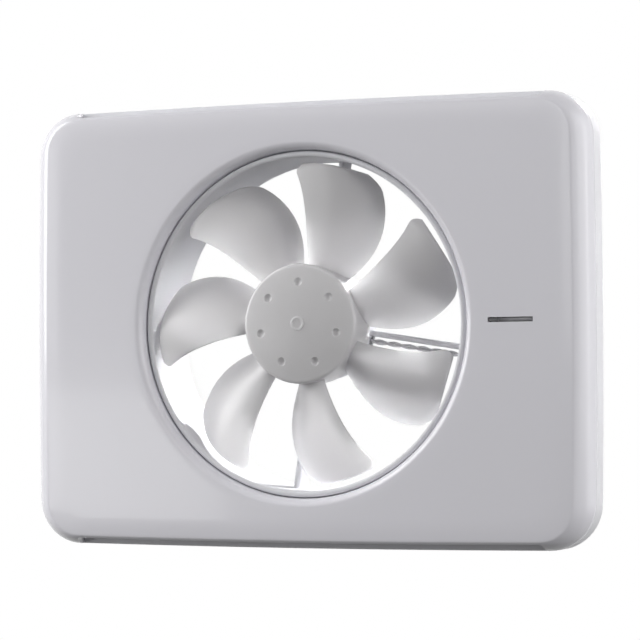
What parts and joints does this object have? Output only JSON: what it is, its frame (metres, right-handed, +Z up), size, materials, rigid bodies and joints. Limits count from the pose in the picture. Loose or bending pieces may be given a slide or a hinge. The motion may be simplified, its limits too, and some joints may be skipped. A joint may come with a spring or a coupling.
{
  "type": "wall exhaust fan",
  "caption": "Compact exhaust fan for a wall, ceiling or window panel: crowned front cover, open round inlet, axial impeller and short duct tube.",
  "frame": {"origin": "on the duct axis, in the plane of the wall that the base frame sits against", "axes": "+X right, +Z up, -Y out of the front cover towards the room, +Y along the duct into the wall"},
  "size_m": [0.2144, 0.0339, 0.1596],
  "materials": {
    "cover_gloss_white": "glossy white moulded plastic, faint cool tint",
    "frame_white": "satin white moulded plastic",
    "duct_white": "satin white moulded plastic",
    "impeller_grey": "satin light grey moulded plastic",
    "smoked_window": "dark smoked plastic",
    "foam_grey": "closed-cell foam",
    "steel": "bright zinc-plated steel",
    "brass": "machined brass",
    "ferrite": "dull sintered ferrite",
    "lamination": "stacked electrical steel",
    "copper_wire": "enamelled copper wire",
    "board_green": "green solder mask",
    "dark_plastic": "black moulded plastic",
    "terminal_grey": "grey moulded plastic",
    "rubber_black": "soft black rubber",
    "lead_grey": "pale grey cable insulation"
  },
  "bodies": {
    "frame": {"base_frame": "frame_white", "duct_tube": "duct_white", "wall_gasket": "foam_grey", "bearing_tube": "brass", "front_bearing": "steel", "rear_bearing": "steel", "stator_core": "lamination", "winding_1": "copper_wire", "winding_2": "copper_wire", "winding_3": "copper_wire", "winding_4": "copper_wire", "winding_5": "copper_wire", "winding_6": "copper_wire", "motor_board": "board_green", "motor_cap": "duct_white", "motor_lead": "lead_grey", "duct_screw_1": "steel", "duct_screw_2": "steel", "duct_screw_3": "steel", "duct_screw_4": "steel", "control_board": "board_green", "board_screw_1": "steel", "board_screw_2": "steel", "power_module": "dark_plastic", "capacitor": "dark_plastic", "indicator_lamp": "terminal_grey", "humidity_sensor": "terminal_grey", "lead_socket": "terminal_grey", "terminal_block": "terminal_grey", "terminal_screw_1": "brass", "terminal_screw_2": "brass", "terminal_screw_3": "brass", "cable_grommet": "rubber_black", "cable_clamp": "dark_plastic", "clamp_screw_1": "steel", "clamp_screw_2": "steel", "spring_clip_1": "steel", "spring_clip_2": "steel", "spring_clip_3": "steel", "spring_clip_4": "steel"},
    "rotor": {"impeller": "impeller_grey", "rotor_cup": "steel", "ring_magnet": "ferrite", "rotor_shaft": "steel", "shaft_clip": "steel"},
    "cover": {"front_cover": "cover_gloss_white", "indicator_window": "smoked_window"}
  },
  "joints": [
    {"name": "impeller_spin", "type": "hinge", "parent": "frame", "child": "rotor", "pos_m": [0, 0, 0], "axis": [0, 1, 0], "continuous": true},
    {"name": "cover_pull", "type": "slide", "parent": "frame", "child": "cover", "axis": [0, -1, 0], "range_m": [0, 0.04]}
  ]
}
